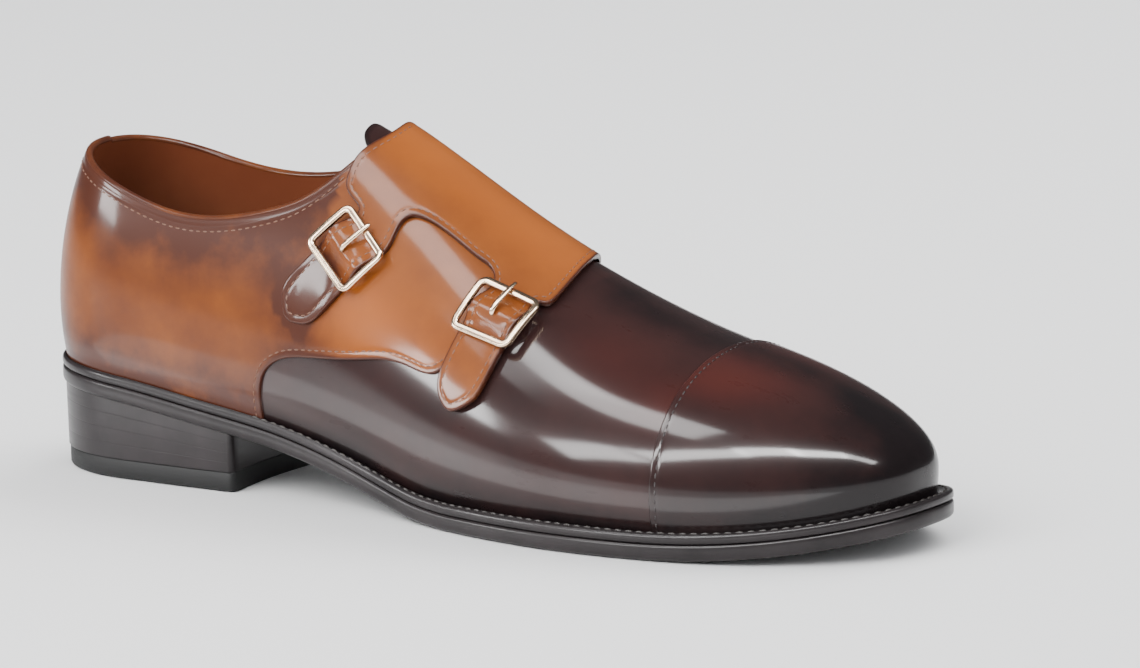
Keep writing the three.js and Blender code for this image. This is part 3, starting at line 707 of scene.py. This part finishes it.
def beneath(buckle, local):
    """Flat places straight under points of a buckle's own flat frame (ahead, beside)."""
    local = np.atleast_2d(np.asarray(local, float))
    flat = np.repeat(buckle["flat"][None], len(local), 0)

    def miss(places):
        from_middle = lay(places, np.zeros(len(places))) - buckle["middle"]
        return np.stack([from_middle @ buckle["ahead"], from_middle @ buckle["beside"]], -1) - local

    for _ in range(8):
        now = miss(flat)
        ds, dw = ((miss(flat + step) - now) / 0.01 for step in ((0.01, 0), (0, 0.01)))
        det = ds[:, 0] * dw[:, 1] - dw[:, 0] * ds[:, 1]
        flat[:, 0] -= (now[:, 0] * dw[:, 1] - now[:, 1] * dw[:, 0]) / det
        flat[:, 1] -= (now[:, 1] * ds[:, 0] - now[:, 0] * ds[:, 1]) / det
    return flat


def strap_end(buckle):
    h, tip = STRAP["half"], STRAP["tip"]
    side = [(-9.5, -h), (-4, -h), (2, -h), (9, -h), (tip - 11, -h)]
    side += [(tip - 5, -h * 0.86), (tip - 1.5, -h * 0.45), (tip, 0)]
    return beneath(buckle, side + [(a, -b) for a, b in side[-2::-1]])


def on(*places):
    """Flat places from pairs of x and share down from the crest."""
    return np.array([(s_of(x), down * GIRTH) for x, down in places])


rear, front = BUCKLES
strap_edge = through(np.concatenate([
    on((120, 0), (120.4, 0.07), (119.6, 0.14), (117.4, 0.21), (115.2, 0.28), (114.6, 0.34), (116, 0.4)),
    strap_end(rear),
    on((135.6, 0.385), (138, 0.345), (142, 0.325), (148, 0.317), (155, 0.319), (161, 0.323), (166.5, 0.33)),
    strap_end(front),
    on((186.6, 0.33), (187.8, 0.29), (187.9, 0.24), (187.3, 0.15), (186, 0.06), (185, 0)),
]), 0.9)
inner_front = through(np.concatenate([
    on((185, 0), (183, -0.1), (180, -0.22), (175.5, -0.36), (168, -0.52), (160, -0.66), (153, -0.74)),
    at_x((146.7, 0.2, -1), (127.9, 0.14, -1), (99.9, 0.05, -1), (93.1, -0.05, -1)),
    at_x((91, -0.5, -1), (90.5, -1, -1)),
]))
back = np.linspace(0, s_of(90.5), 30)
inner_feather = np.stack([back[::-1], np.full(30, -(GIRTH + FOOT))], -1)


def collar_line(side, start, stop, count=60):
    """The collar's line on the flat pattern, a little under its edge."""
    s = np.linspace(start, stop, count)
    turn = s / STEP / HALF if side > 0 else 2 - s / STEP / HALF
    return np.stack([s, side * (1 - top_level(turn)) * GIRTH], -1)


inner_collar = collar_line(-1, 0, s_of(115.5))
inner_back = through([(0, -(GIRTH + FOOT)), (0, -GIRTH), inner_collar[0]])
inner_outline = closed(
    inner_back, through(inner_collar),
    through(np.concatenate([inner_collar[-1:], on((118.4, -0.17), (119.4, -0.08), (120, 0))])),
    strap_edge, inner_front, through(inner_feather),
)


def raised(flat):
    """How far a strap rises over the middle bar of its buckle."""
    p = lay(flat, np.zeros(len(flat)))
    total = np.zeros(len(flat))
    for buckle in BUCKLES:
        a, b = (abs((p - buckle["middle"]) @ buckle[way]) for way in ("ahead", "beside"))
        hump = STRAP["lift"] * np.cos(np.pi * np.minimum(a, 6.8) / 13.6) ** 2
        total += np.where((a < 6.8) & (b < STRAP["half"] + 2), hump, 0)
    return total


def ease(value, low, high):
    share = np.clip((value - low) / (high - low), 0, 1)
    return share * share * (3 - 2 * share)


def strap_base(flat):
    w = flat[:, 1]
    return -0.95 + 1.25 * ease(w, -34, -6) * ease(flat[:, 0], s_of(104), s_of(118)) + raised(flat)


def strap_thick(flat):
    return 1.1 + 0.65 * ease(flat[:, 1], -34, 0)


def tan_masks(flat, inset):
    """Burnished dark along the collar, darker along the sole and at the cut edges, and warm in the middle, with
    painted shade and a pale painted highlight.
    """
    turn, level = spot(flat)
    p = skin(turn, level)
    under = (top_level(turn) - level) * GIRTH
    under = np.where(p[:, 0] > 112, 99, under)
    wash = 0.95 * near(under, 26) + 1.1 * near(level + 1, 1.6) * (p[:, 0] < 150)
    # The cut edges are inked dark, and a wider band beside them is painted shade.
    wash = wash + 0.3 * near(inset, 2.2) + 0.9 * near(inset, 0.8)
    # Painted shade around the rear strap's end, low on the quarter.
    wash = wash + 0.5 * bell(p[:, 0], 104, 16) * bell(level, 0.1, 0.3)
    # Painted shade over each strap's end beyond its buckle, strong at the rear buckle and faint at the front.
    for buckle in BUCKLES:
        a, b = ((p - buckle["middle"]) @ buckle[way] for way in ("ahead", "beside"))
        tip = ease(a, -4, 12) * near(abs(b), 11) * (a < 30)
        wash = wash + (1.0 if buckle["name"] == "rear" else 0.15) * tip
    glow = 0.9 * bell(p[:, 0], 128, 26) * bell(level, 0.28, 0.16)
    glow = glow + 0.5 * near(abs(flat[:, 1] - 6), 22) * (p[:, 0] > 120)
    # A pale painted highlight low down along the sole.
    rim = 0.12 * bell(level, -0.6, 0.12)
    return {"wash": np.clip(wash, 0, 1), "glow": np.clip(glow, 0, 1), "rim": rim}


tan_calf = leather(
    "tan calf", (0.24, 0.068, 0.014), (0.135, 0.035, 0.01), (0.062, 0.019, 0.011),
    (0.37, 0.097, 0.013), gloss=0.34, coat=0.3, clouds=26.0,
)
panel(
    "inner_quarter_and_straps", inner_outline, strap_base, strap_thick, tan_calf,
    ["strap_panel"], tan_masks, lined=True,
)


def always(value):
    """The same value at every place on the flat pattern."""
    return lambda flat: np.full(len(flat), value)


QUARTER_BASE, QUARTER_THICK = always(-0.95), always(1.1)

outer_collar = collar_line(1, 0, s_of(116))
outer_lower = through(np.concatenate([
    on((150, 0.2), (172, 0.24), (180, 0.38), (177, 0.5), (166, 0.64), (157, 0.74)),
    at_x((146.7, 0.242, 1), (127.9, 0.17, 1), (110, 0.1, 1), (99.9, 0.058, 1), (94, 0.0, 1)),
    at_x((91.5, -0.35, 1), (90.5, -1, 1)),
]))
outer_feather = np.stack([back[::-1], np.full(30, GIRTH + FOOT)], -1)
outer_outline = closed(
    through([(0, GIRTH + FOOT), (0, GIRTH), outer_collar[0]]), through(outer_collar),
    through([outer_collar[-1], on((150, 0.2))[0]]), outer_lower, through(outer_feather),
)
panel("outer_quarter", outer_outline, QUARTER_BASE, QUARTER_THICK, tan_calf, masks=tan_masks)

# ------------------------------------------------------------ lining and collar edge
# Calf lining glued inside the whole upper. At the collar the two leathers are folded in,
# sewn together, and the edge is rounded and burnished.
lining_calf = leather(
    "lining calf", (0.15, 0.05, 0.024), (0.1, 0.032, 0.016), (0.045, 0.016, 0.011),
    (0.22, 0.055, 0.024), gloss=0.42, coat=0.05,
)
lining_levels = np.linspace(-0.98, 1, 60)[:, None] * np.ones(len(turns))
lining_levels = np.where(lining_levels > 0, lining_levels * tops, lining_levels)
around = np.broadcast_to(turns, lining_levels.shape)
points = off(around, lining_levels, np.full(lining_levels.shape, -WALL))
# Painted shade darkens the lining deep inside, and painted light warms and lightens it near the collar.
shade = {"wash": 0.5 * near(lining_levels + 1, 1.2), "glow": 0.4 * near(tops - lining_levels, 0.3)}
lining_faces = grid(*lining_levels.shape, wrap=True, flip=True)
piece("lining", points, lining_faces, lining_calf, masks=shade)


def tube(path, across, up, width, height, sides=12, wrap=False):
    """Points and faces of a rounded bar along a path; across and up point along its section."""
    angle = np.linspace(0, 2 * np.pi, sides, endpoint=False)
    width, height = (np.broadcast_to(np.asarray(v, float), len(path))[:, None, None] for v in (width, height))
    ring = path[:, None] + across[:, None] * np.cos(angle)[:, None] * width / 2
    ring = ring + up[:, None] * np.sin(angle)[:, None] * height / 2
    count = len(path)
    faces = []
    for i in range(count if wrap else count - 1):
        here, ahead = i * sides, (i + 1) % count * sides
        for k in range(sides):
            beyond = (k + 1) % sides
            faces.append((here + k, here + beyond, ahead + beyond, ahead + k))
    if not wrap:
        faces += [tuple(range(sides))[::-1], tuple(range((count - 1) * sides, count * sides))]
    return ring.reshape(-1, 3), faces


open_turns = turns[tops < 0.9995]
outer_run = open_turns[open_turns <= 1]
inner_run = open_turns[open_turns > 1]
run = np.concatenate([outer_run, inner_run])
path = off(run, top_level(run), np.full(len(run), -1.03))
across = normal(run, top_level(run))
along = unit(np.roll(path, -1, 0) - np.roll(path, 1, 0))
points, faces = tube(path, across, unit(np.cross(along, across)), 2.36, 2.3, wrap=True)
edge_wash = np.full(len(points), 0.62)
piece("collar_edge", points, faces, tan_calf, masks={"wash": edge_wash, "glow": edge_wash * 0})

# ------------------------------------------------------------ tongue
# Calf tongue sewn to the vamp under the instep, its rounded end standing out of the
# throat behind the strap panel.
tongue_line = through(on((111.1, -0.07), (112, -0.14), (116, -0.2), (126, -0.26), (150, -0.3), (168, -0.3)))
tongue_side = through(
    on((168, 0.3), (150, 0.3), (126, 0.26), (116, 0.2), (112, 0.14), (111.1, 0.07), (110.8, 0), (111.1, -0.07))
)
tongue_outline = closed(tongue_line, through(on((168, -0.3), (168, 0.3))), tongue_side)
panel(
    "tongue", tongue_outline, always(-WALL - GAP * 5 - 1.6), always(1.6), dark_calf, ["tongue"],
    lambda flat, inset: {"wash": 0.5 * near(inset, 3), "glow": 0 * inset}, radius=0.8, lined=True,
)

# ------------------------------------------------------------ welt and outsole
# A leather welt round the whole shoe, stitched through to a leather outsole. Both edges
# are trimmed together, inked black and waxed; a groove is left where they meet.
rim_turns = np.linspace(0, 2, 480, endpoint=False)
rim_centre = np.stack(plan(rim_turns, "Feather", 0.0), -1)


def rim(grow, out, height, share=1.0):
    """A loop round the sole, its height a function of x: grow 0 is the upper's edge, 1 the sole's."""
    p = np.stack(plan(rim_turns, "Feather", 1.0, grow), -1)
    away = p - rim_centre
    reach = np.linalg.norm(away, axis=-1, keepdims=True)
    p = rim_centre + away * (reach + out) / reach * share
    return np.concatenate([p, height(p[:, 0])[:, None]], -1)


def edge_ink(name, colour, gloss):
    """Inked and waxed edge: near black, with the fibre's fine level streaks."""
    made, tree, shader = material(name, coat_weight=0.2, coat_roughness=0.2, specular_ior_level=0.15)
    texture = node(tree, "Group", node_tree=grain)
    place = node(tree, "TexCoord").outputs["Object"]
    layered = node(tree, "Mapping", vector=place, scale=(0.12, 0.12, 2))
    fibre = node(tree, "TexNoise", scale=420, detail=3, vector=layered.outputs["Vector"])
    tone = mixed(tree, texture.outputs["Clouds"], colour, tuple(v * 1.9 for v in colour))
    tree.links.new(tone, shader.inputs["Base Color"])
    rough = node(tree, "MapRange", value=fibre.outputs["Fac"], to_min=gloss - 0.06, to_max=gloss + 0.12)
    tree.links.new(rough.outputs["Result"], shader.inputs["Roughness"])
    bumped(tree, shader, fibre.outputs["Fac"], 0.25)
    return made


inked = edge_ink("inked edge", (0.013, 0.0105, 0.011), 0.34)
WELT = rows(
    "grow out up", (0.05, -1, 0.1), (1, -1.1, 0.05), (1, -0.45, 0.15), (1, -0.1, 0.5), (1, 0, 1.1),
    (1, 0, 1.9), (1, -0.15, 2.5), (1, -0.5, 2.85), (1, -1.0, 3.0), (0.7, 0, 3.0), (0.45, 0, 2.95),
    (0.2, 0, 2.7), (0, 0, 2.3), (0, -1.2, 1.6),
)
loops = [rim(g, o, lambda x, u=u: sole_top(x) + u) for g, o, u in zip(WELT["grow"], WELT["out"], WELT["up"])]
piece("welt", np.concatenate(loops), grid(len(loops), 480, wrap=True), inked, ["welt"])
SOLE = rows(
    "out up share", (-3, 0.0, 0.02), (-3, 0.0, 0.4), (-3, 0.0, 0.75), (-3, 0, 1), (-1.2, 0.02, 1),
    (-0.6, 0.2, 1), (-0.2, 0.6, 1), (0, 1.2, 1), (0.05, 2.6, 1), (0, 4.1, 1), (-0.2, 4.6, 1),
    (-0.7, 4.9, 1), (-2.5, 5, 1),
)
loops = [
    rim(1, o, lambda x, u=u: sole_under(x) + u, k) for o, u, k in zip(SOLE["out"], SOLE["up"], SOLE["share"])
]
piece("outsole", np.concatenate(loops), grid(len(loops), 480, wrap=True), inked, ["outsole"])

# ------------------------------------------------------------ heel
# Stacked leather lifts, nailed, trimmed flush with the sole and inked, on a rubber top
# piece that takes the wear.
BREAST_X = 79
TOP_PIECE = 6
LIFTS = 4


def heel_loop(out, height, share=1.0):
    """A loop round the heel, cut off at the breast, which is a little hollow."""
    p = rim(1, out, lambda x: x)[:, :2]
    outer, inner = p[:240], p[240:]
    outer, inner = outer[outer[:, 0] < BREAST_X], inner[inner[:, 0] < BREAST_X]
    first, second = outer[-1], inner[0]
    across = np.linspace(0, 1, 26)[1:-1, None]
    breast = first + (second - first) * across
    breast[:, 0] = BREAST_X - 3 * (1 - (2 * across[:, 0] - 1) ** 2)
    loop = np.concatenate([outer, breast, inner])
    middle = np.array([40, 0.4])
    loop = middle + (loop - middle) * share
    return np.concatenate([loop, height(loop[:, 0])[:, None]], -1)


def heel_piece(name, profile, finish, nodes):
    loops = [heel_loop(out, height, share) for out, height, share in profile]
    piece(name, np.concatenate(loops), grid(len(loops), len(loops[0]), wrap=True), finish, nodes)


LIFT_EDGE = ((-1.25, 0.004), (-1.2, 0.03), (-1.2, 0.06), (-1.2, 0.94), (-1.2, 0.97), (-1.25, 0.996))


def lift_height(part):
    """Height of a loop a share of the way up the stack, from the top piece to the sole."""
    return lambda x: TOP_PIECE + 0.1 + (sole_under(x) + 0.1 - TOP_PIECE) * part


stack = [(-3, always(TOP_PIECE + 0.05), 0.1), (-3, always(TOP_PIECE + 0.05), 1)]
for lift in range(LIFTS):
    for out, share in LIFT_EDGE:
        part = (lift + share) / LIFTS
        stack.append((out + 0.35 * part, lift_height(part), 1))
heel_piece("heel_stack", stack, inked, ["heel_stack"])
rubber, tree, shader = material(
    "heel rubber", base_color=(0.012, 0.012, 0.012), roughness=0.55, specular_ior_level=0.25
)
crumb = node(tree, "TexNoise", scale=1600, detail=3)
bumped(tree, shader, crumb.outputs["Fac"], 0.3)
top_outs = (-3, -3, -2.5, -1.9, -1.65, -1.6, -1.6, -1.8, -3)
top_heights = [always(z) for z in (0, 0, 0.0, 0.15, 0.6, 3, 5.6, TOP_PIECE, TOP_PIECE)]
top_profile = list(zip(top_outs, top_heights, (0.05, 1, 1, 1, 1, 1, 1, 1, 1)))
heel_piece("heel_top_piece", top_profile, rubber, ["heel_top_piece"])

# ------------------------------------------------------------ sock
# A full calf sock glued over the insole; its edge turns up a little against the lining.
sock_calf = leather(
    "sock calf", (0.3, 0.12, 0.045), (0.22, 0.08, 0.03), (0.08, 0.03, 0.014), (0.34, 0.14, 0.05),
    gloss=0.5, coat=0.0,
)
loops = []
for share, up in ((0.02, 0), (0.3, 0), (0.6, 0), (0.85, 0.05), (0.95, 0.2), (0.985, 0.5), (1.0, 1.1)):
    loops.append(rim(0, -WALL - 0.2, lambda x, up=up: sole_top(x) + GAP + 3.7 + up, share))
sock_faces = grid(len(loops), 480, wrap=True, flip=True)
# Painted shade darkens the sock towards its edge, where it turns up against the lining.
sock_masks = {"wash": np.repeat([0, 0, 0, 0.05, 0.2, 0.4, 0.5], 480), "glow": np.zeros(480 * 7)}
piece("sock", np.concatenate(loops), sock_faces, sock_calf, ["insole"], sock_masks)

# ------------------------------------------------------------ buckles
# Cast frames in a pale gold finish: rounded bars, a thin middle bar under the strap, and
# a tapered prong that turns on it, comes up through the strap and rests on the frame.
gold, tree, shader = material("pale gold", base_color=(0.62, 0.47, 0.33), metallic=1.0, roughness=0.2)
wear = node(tree, "Group", node_tree=grain)
rough = node(tree, "MapRange", value=wear.outputs["Streaks"], to_min=0.16, to_max=0.3)
tree.links.new(rough.outputs["Result"], shader.inputs["Roughness"])
plate = mixed(tree, wear.outputs["Clouds"], (0.66, 0.5, 0.36), (0.5, 0.37, 0.25))
tree.links.new(plate, shader.inputs["Base Color"])
FRAME = {"length": 17.4, "width": 22, "bar": 2.2, "low": 2.64, "high": 4.6, "corner": 2.0}


def frame_path():
    """The line down the middle of a frame's bars, with round corners, and its outward ways."""
    a, b = FRAME["length"] / 2 - FRAME["bar"] / 2, FRAME["width"] / 2 - FRAME["bar"] / 2
    r = FRAME["corner"]
    places, outs = [], []
    for sa, sb, start in ((1, 1, 0), (-1, 1, 90), (-1, -1, 180), (1, -1, 270)):
        for angle in np.radians(start + np.linspace(0, 90, 9)):
            out = np.array([math.cos(angle), math.sin(angle)])
            places.append(np.array([sa * (a - r), sb * (b - r)]) + r * out)
            outs.append(out)
    places, outs = np.array(places), np.array(outs)
    more, more_out = [], []
    for i in range(len(places)):
        j = (i + 1) % len(places)
        count = max(1, int(np.linalg.norm(places[j] - places[i]) / 1.2))
        for k in range(count):
            more.append(places[i] + (places[j] - places[i]) * k / count)
            more_out.append(outs[i] + (outs[j] - outs[i]) * k / count)
    return np.array(more), unit(np.array(more_out))


for buckle in BUCKLES:
    places, outs = frame_path()
    sides = 16
    angle = np.linspace(0, 2 * np.pi, sides, endpoint=False)
    ca, sa = (np.sign(v) * abs(v) ** 0.62 for v in (np.cos(angle), np.sin(angle)))
    local = places[:, None] + outs[:, None] * (ca * FRAME["bar"] / 2)[None, :, None]
    height = (FRAME["low"] + FRAME["high"]) / 2 + sa * (FRAME["high"] - FRAME["low"]) / 2
    height = height + 0 * local[..., 0]
    points = lay(beneath(buckle, local.reshape(-1, 2)), height.ravel())
    count = len(places)
    faces = []
    for i in range(count):
        here, ahead = i * sides, (i + 1) % count * sides
        for k in range(sides):
            beyond = (k + 1) % sides
            faces.append((here + k, ahead + k, ahead + beyond, here + beyond))
    bar_b = np.linspace(-FRAME["width"] / 2 + 1, FRAME["width"] / 2 - 1, 24)
    bar_h = 1.05 + 2.3 * near(abs(abs(bar_b) - 10), 1.2)
    bar_path = lay(beneath(buckle, np.stack([0 * bar_b, bar_b], -1)), bar_h)
    out = np.repeat(np.cross(buckle["ahead"], buckle["beside"])[None], 24, 0)
    bar, bar_faces = tube(bar_path, np.repeat(buckle["ahead"][None], 24, 0), out, 1.4, 1.3)
    faces += [tuple(i + len(points) for i in f) for f in bar_faces]
    name = "buckle_frame_" + buckle["name"]
    piece(name, np.concatenate([points, bar]), faces, gold, [name])
    prong = through(
        [(0.2, 0.2), (1.0, 1.6), (1.15, 3.6), (0.3, 5.2), (-2, 5.75), (-5, 5.6), (-8, 5.45), (-9.9, 5.1)], 0.5
    )
    path = lay(beneath(buckle, np.stack([prong[:, 0], 0 * prong[:, 0]], -1)), prong[:, 1])
    along = unit(np.gradient(path, axis=0))
    beside = np.repeat(buckle["beside"][None], len(path), 0)
    slim = 1 - 0.35 * ease(-prong[:, 0], 4, 9.9)
    points, faces = tube(path, beside, unit(np.cross(along, beside)), 1.8 * slim, 1.25 * slim)
    name = "buckle_prong_" + buckle["name"]
    piece(name, points, faces, gold, [name])

# ------------------------------------------------------------ stitching
# Waxed thread, lock-stitched about four to the centimetre: one row along each cut edge
# and the collar, and a heavier row on the welt that holds the outsole.
thread_parts = {}


def stitches(group_name, path, across, pitch, length, wide, sink=0.35):
    """Adds a row of stitches along a line of points; across is the surface's normal there."""
    run = np.concatenate([[0], np.cumsum(np.linalg.norm(np.diff(path, axis=0), axis=-1))])
    at = np.arange(pitch / 2, run[-1], pitch)
    ring = np.array([(-0.5, 0.35), (-0.32, 0.85), (0, 1.0), (0.32, 0.85), (0.5, 0.35)])
    angle = np.linspace(0, 2 * np.pi, 6, endpoint=False)
    points, faces = thread_parts.setdefault(group_name, ([], []))
    for middle in at:
        steps = middle + ring[:, 0] * length
        c = np.stack([np.interp(steps, run, path[:, k]) for k in range(3)], -1)
        n = unit(np.stack([np.interp(steps, run, across[:, k]) for k in range(3)], -1))
        side = unit(np.cross(unit(c[-1] - c[0]), n))
        c = c - n * (sink * wide * (1 - ring[:, 1:]) * 2.2)
        r = ring[:, 1, None, None] * wide / 2
        loop = c[:, None] + side[:, None] * np.cos(angle)[:, None] * r
        loop = loop + n[:, None] * np.sin(angle)[:, None] * r
        start = sum(len(p) for p in points)
        points.append(loop.reshape(-1, 3))
        for here in range(start, start + 24, 6):
            for k in range(6):
                beyond = (k + 1) % 6
                faces.append((here + k, here + beyond, here + 6 + beyond, here + 6 + k))


def sewn(group_name, outline, part, base, thick, inset=2.0, **sizes):
    """A row at an inset from part of a pattern's outline, on top of that piece."""
    into = inward(outline)
    near_part = distance_to(outline, part, wrap=False) < 0.2
    start = int(np.argmax(~near_part))
    order = np.roll(np.arange(len(outline)), -start)
    order = order[near_part[order]]
    line = (outline + into * inset)[order]
    line = line[distance_to(line, outline) > inset - 0.15]
    turn, level = spot(line)
    path = off(turn, level, base(line) + thick(line) - 0.08)
    stitches(group_name, path, normal(turn, level), **sizes)


fine_row = {"pitch": 2.5, "length": 1.9, "wide": 0.5}
sewn("tan_thread", inner_outline, strap_edge, strap_base, strap_thick, **fine_row)
sewn("tan_thread", inner_outline, inner_front, strap_base, strap_thick, **fine_row)
sewn("tan_thread", outer_outline, outer_lower, QUARTER_BASE, QUARTER_THICK, **fine_row)
for side, stop in ((1, s_of(114)), (-1, s_of(112))):
    line = collar_line(side, 0.5, stop, 160)
    turn, level = spot(line)
    level = level - 3.2 / GIRTH
    stitches("tan_thread", off(turn, level, np.full(len(level), 0.12)), normal(turn, level), **fine_row)
cap_t = np.linspace(0.7, 1.3, 2400)
cap_rows = []
for half_turns in (cap_t[cap_t <= 1], cap_t[cap_t > 1][::-1]):
    found = []
    for level in np.linspace(-0.95, 0.955, 90):
        p = skin(half_turns, np.full(len(half_turns), level))
        i = int(np.argmin(abs(p[:, 0] - CAP["x"] - 2)))
        found.append((half_turns[i], level))
    cap_rows.append(np.array(found))
cap_line = np.concatenate([cap_rows[0], cap_rows[1][::-1]])
turn, level = cap_line.T
stitches("dark_thread", off(turn, level, np.full(len(level), 0.08)), normal(turn, level), **fine_row)
welt_line = rim(0.62, 0, lambda x: sole_top(x) + 3.0)
welt_line = welt_line[(welt_line[:, 0] > 86)]
upward = np.repeat([[0.0, 0.0, 1.0]], len(welt_line), 0)
stitches("welt_thread", welt_line, upward, pitch=3.4, length=2.7, wide=0.8)
THREADS = {
    "tan_thread": ((0.16, 0.06, 0.025), "leather_tan"),
    "dark_thread": ((0.02, 0.011, 0.011), "leather_dark"),
    "welt_thread": ((0.03, 0.024, 0.02), "sole_edge"),
}
for key, (colour, slot) in THREADS.items():
    thread, tree, shader = material(key.replace("_", " "), base_color=colour, roughness=0.5)
    twist = node(tree, "TexWave", scale=700, distortion=2)
    bumped(tree, shader, twist.outputs["Fac"], 0.4)
    points, faces = thread_parts[key]
    piece(key, np.concatenate(points), faces, thread)
